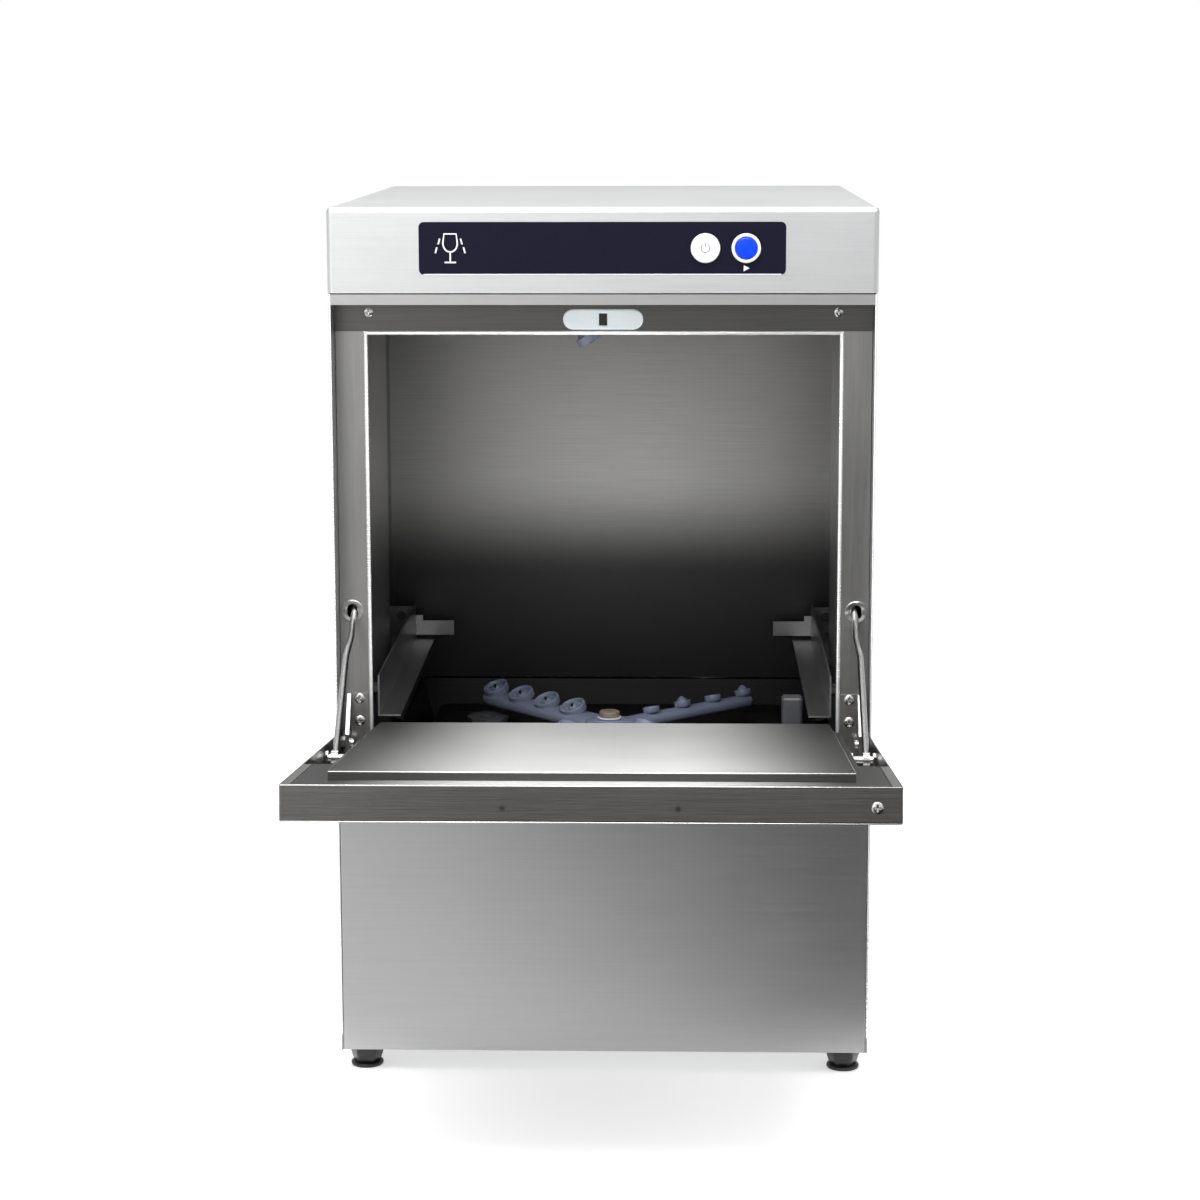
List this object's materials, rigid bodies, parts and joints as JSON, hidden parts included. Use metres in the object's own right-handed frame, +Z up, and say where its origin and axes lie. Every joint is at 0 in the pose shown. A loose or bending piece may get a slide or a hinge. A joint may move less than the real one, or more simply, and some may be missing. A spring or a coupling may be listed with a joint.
{
  "type": "glass washer machine",
  "caption": "Undercounter stainless glass washer with a drop-down door on folding stays, rack rails, spray arms, push-button fascia and levelling feet.",
  "frame": {"origin": "centre of the bounding box's footprint at floor level, with the door open as stored", "axes": "+Z up, +X to the machine's right seen from the front, +Y from the door towards the back"},
  "size_m": [0.422, 0.8363, 0.686],
  "materials": {
    "brushed_steel": "brushed along the width",
    "side_steel": "brushed",
    "front_steel": "brushed",
    "frame_steel": "brushed",
    "chamber_steel": "satin",
    "polished_edge": "polished",
    "door_steel": "brushed",
    "liner_steel": "brushed along the width",
    "rail_steel": "satin",
    "bright_steel": "bright zinc and polished steel",
    "overlay_film": "gloss printed film",
    "button_white": "gloss",
    "lens_blue": "gloss translucent",
    "board_green": "lacquered",
    "black_plastic": "moulded",
    "latch_plastic": "moulded",
    "arm_plastic": "moulded",
    "nut_plastic": "moulded",
    "hub_plastic": "moulded",
    "pump_plastic": "moulded",
    "motor_paint": "painted",
    "hose_rubber": "moulded",
    "pipe_plastic": "moulded",
    "copper_pipe": "drawn copper",
    "boiler_steel": "satin"
  },
  "bodies": {
    "cabinet": {"air_trap": "hub_plastic", "base_tray": "side_steel", "boiler": "boiler_steel", "button_housings": "black_plastic", "cable_gland": "black_plastic", "chamber_back": "chamber_steel", "chamber_ceiling": "chamber_steel", "chamber_sides": "chamber_steel", "column_left": "frame_steel", "column_right": "frame_steel", "control_board": "board_green", "control_overlay": "overlay_film", "cross_screws": "bright_steel", "door_header": "frame_steel", "door_sensor": "black_plastic", "dosing_pump": "pump_plastic", "drain_pipe": "pipe_plastic", "hinge_plates": "frame_steel", "inlet_valve": "pipe_plastic", "latch_cover": "latch_plastic", "lower_front_panel": "front_steel", "opening_lip": "polished_edge", "overflow_pipe": "hub_plastic", "pump_hoses": "hose_rubber", "rack_rails": "rail_steel", "rack_stops": "rail_steel", "rear_panel": "side_steel", "rinse_pipe": "copper_pipe", "rotor_nut": "nut_plastic", "side_panel_left": "side_steel", "side_panel_right": "side_steel", "slotted_screws": "bright_steel", "stay_grommets": "latch_plastic", "stay_springs": "bright_steel", "tank": "chamber_steel", "tank_heater": "boiler_steel", "tank_strainer": "chamber_steel", "top_cover": "brushed_steel", "upper_spindle": "hub_plastic", "wash_manifold": "hub_plastic", "wash_pump_motor": "motor_paint", "wash_pump_volute": "pump_plastic"},
    "door": {"door_shell": "door_steel", "door_liner": "liner_steel", "door_pins": "bright_steel", "door_screw": "bright_steel"},
    "stay_left": {"stay_left": "bright_steel"},
    "stay_right": {"stay_right": "bright_steel"},
    "power_button": {"power_button": "button_white"},
    "start_button": {"start_button": "button_white", "start_lens": "lens_blue"},
    "lower_rotor": {"wash_arm": "arm_plastic", "wash_jets": "arm_plastic", "rinse_arm_lower": "arm_plastic"},
    "upper_rotor": {"rinse_arm_upper": "arm_plastic"},
    "impeller": {"pump_impeller": "pump_plastic"},
    "foot_front_left": {"foot_front_left": "black_plastic"},
    "foot_front_right": {"foot_front_right": "black_plastic"},
    "foot_rear_left": {"foot_rear_left": "black_plastic"},
    "foot_rear_right": {"foot_rear_right": "black_plastic"}
  },
  "joints": [
    {"name": "door_swing", "type": "hinge", "parent": "cabinet", "child": "door", "pos_m": [0, -0.07627, 0.266], "axis": [-1, 0, 0], "range_deg": [0, 82.94], "deforming": ["stay_springs"]},
    {"name": "stay_left_pivot", "type": "hinge", "parent": "door", "child": "stay_left", "pos_m": [-0.199, -0.17973, 0.27881], "axis": [-1, 0, 0], "range_deg": [-41.47, 0]},
    {"name": "stay_right_pivot", "type": "hinge", "parent": "door", "child": "stay_right", "pos_m": [0.199, -0.17973, 0.27881], "axis": [-1, 0, 0], "range_deg": [-41.47, 0]},
    {"name": "power_press", "type": "slide", "parent": "cabinet", "child": "power_button", "axis": [0, 1, 0], "range_m": [0, 0.002], "stiffness_N_per_m": 600, "springref_m": -0.001},
    {"name": "start_press", "type": "slide", "parent": "cabinet", "child": "start_button", "axis": [0, 1, 0], "range_m": [0, 0.002], "stiffness_N_per_m": 600, "springref_m": -0.001},
    {"name": "lower_rotor_spin", "type": "hinge", "parent": "cabinet", "child": "lower_rotor", "pos_m": [0, 0.11348, 0.23], "axis": [0, 0, 1], "continuous": true},
    {"name": "upper_rotor_spin", "type": "hinge", "parent": "cabinet", "child": "upper_rotor", "pos_m": [0, 0.11348, 0.583], "axis": [0, 0, 1], "continuous": true},
    {"name": "impeller_spin", "type": "hinge", "parent": "cabinet", "child": "impeller", "pos_m": [0, 0.08148, 0.08], "axis": [1, 0, 0], "continuous": true},
    {"name": "foot_front_left_turn", "type": "hinge", "parent": "cabinet", "child": "foot_front_left", "pos_m": [-0.191, -0.06927, 0.0186], "axis": [0, 0, 1], "continuous": true},
    {"name": "foot_front_right_turn", "type": "hinge", "parent": "cabinet", "child": "foot_front_right", "pos_m": [0.191, -0.06927, 0.0186], "axis": [0, 0, 1], "continuous": true},
    {"name": "foot_rear_left_turn", "type": "hinge", "parent": "cabinet", "child": "foot_rear_left", "pos_m": [-0.191, 0.37473, 0.0186], "axis": [0, 0, 1], "continuous": true},
    {"name": "foot_rear_right_turn", "type": "hinge", "parent": "cabinet", "child": "foot_rear_right", "pos_m": [0.191, 0.37473, 0.0186], "axis": [0, 0, 1], "continuous": true}
  ],
  "couplings": [
    {"joint": "stay_left_pivot", "follows": "door_swing", "ratio": -0.5},
    {"joint": "stay_right_pivot", "follows": "door_swing", "ratio": -0.5}
  ]
}
